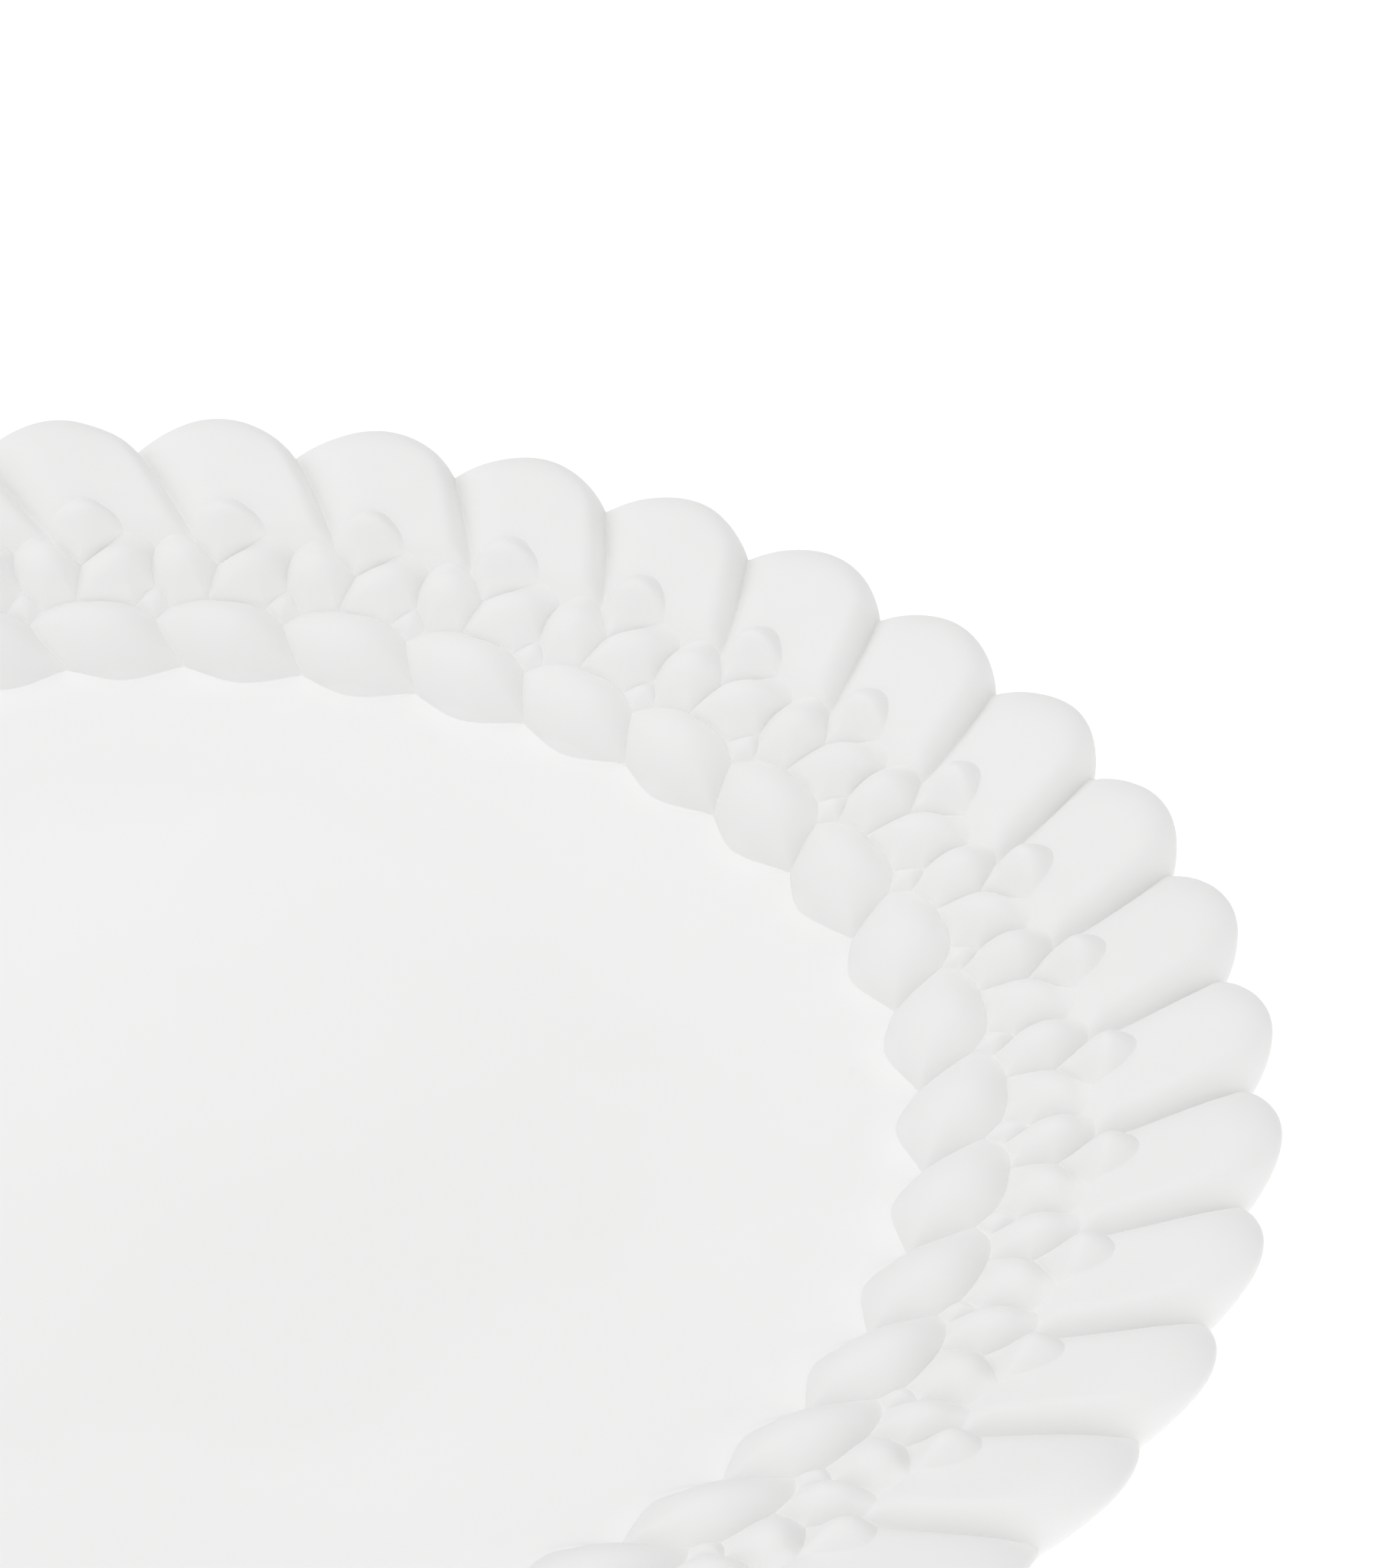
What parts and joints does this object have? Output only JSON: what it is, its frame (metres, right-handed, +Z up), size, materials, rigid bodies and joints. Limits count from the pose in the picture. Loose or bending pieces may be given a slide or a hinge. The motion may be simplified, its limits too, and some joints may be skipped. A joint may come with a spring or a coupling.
{
  "type": "presentation plate",
  "caption": "Round white porcelain presentation plate: shallow glazed well, wide matte rim in relief with leaning petals, buds, beads and overlapping leaves, scalloped edge, foot ring.",
  "frame": {"origin": "on the table, under the middle of the plate, in the plane of the foot ring's resting face", "axes": "+Z up, along the plate's axis; +Y through the middle of one petal, +X through a notch between two petals"},
  "size_m": [0.3092, 0.31, 0.0246],
  "materials": {
    "biscuit": "matte unglazed white porcelain",
    "glaze": "gloss clear glaze over white porcelain"
  },
  "bodies": {
    "root": {"well": "biscuit", "rim": "biscuit", "foot_ring": "biscuit", "well_glaze": "glaze", "petals": "biscuit", "buds": "biscuit", "tall_leaves": "biscuit", "round_beads": "biscuit", "diamonds": "biscuit", "inner_leaves": "biscuit"}
  },
  "joints": []
}
